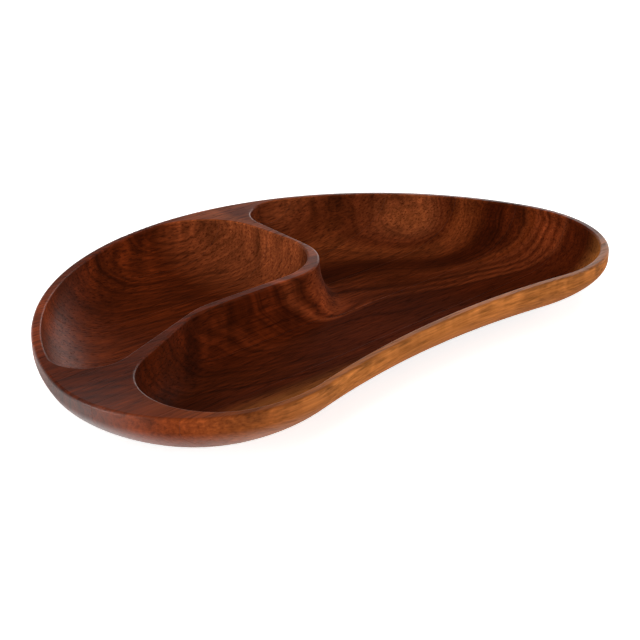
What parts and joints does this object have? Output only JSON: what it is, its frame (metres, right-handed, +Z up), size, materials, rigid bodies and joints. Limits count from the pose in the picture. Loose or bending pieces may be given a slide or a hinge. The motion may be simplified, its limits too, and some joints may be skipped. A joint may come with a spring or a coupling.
{
  "type": "chip and dip server",
  "caption": "Kidney-shaped wooden serving dish, glued up from staves and carved: a long hooked well for chips, a leaf-shaped well for dip, and a curved divider flush with the rim.",
  "frame": {"origin": "middle of the flat base, under the middle of the rim", "axes": "+X along the dish, with the dip well towards -X; +Y to the rounded back; +Z up"},
  "size_m": [0.4, 0.257, 0.0395],
  "materials": {
    "acacia": "sanded and oiled acacia with a satin gloss",
    "glue": "cured brown wood glue, sanded flush"
  },
  "bodies": {
    "root": {"stave_1": "acacia", "stave_2": "acacia", "stave_3": "acacia", "stave_4": "acacia", "stave_5": "acacia", "stave_6": "acacia", "stave_7": "acacia", "glue_line_1": "glue", "glue_line_2": "glue", "glue_line_3": "glue", "glue_line_4": "glue", "glue_line_5": "glue", "glue_line_6": "glue"}
  },
  "joints": []
}
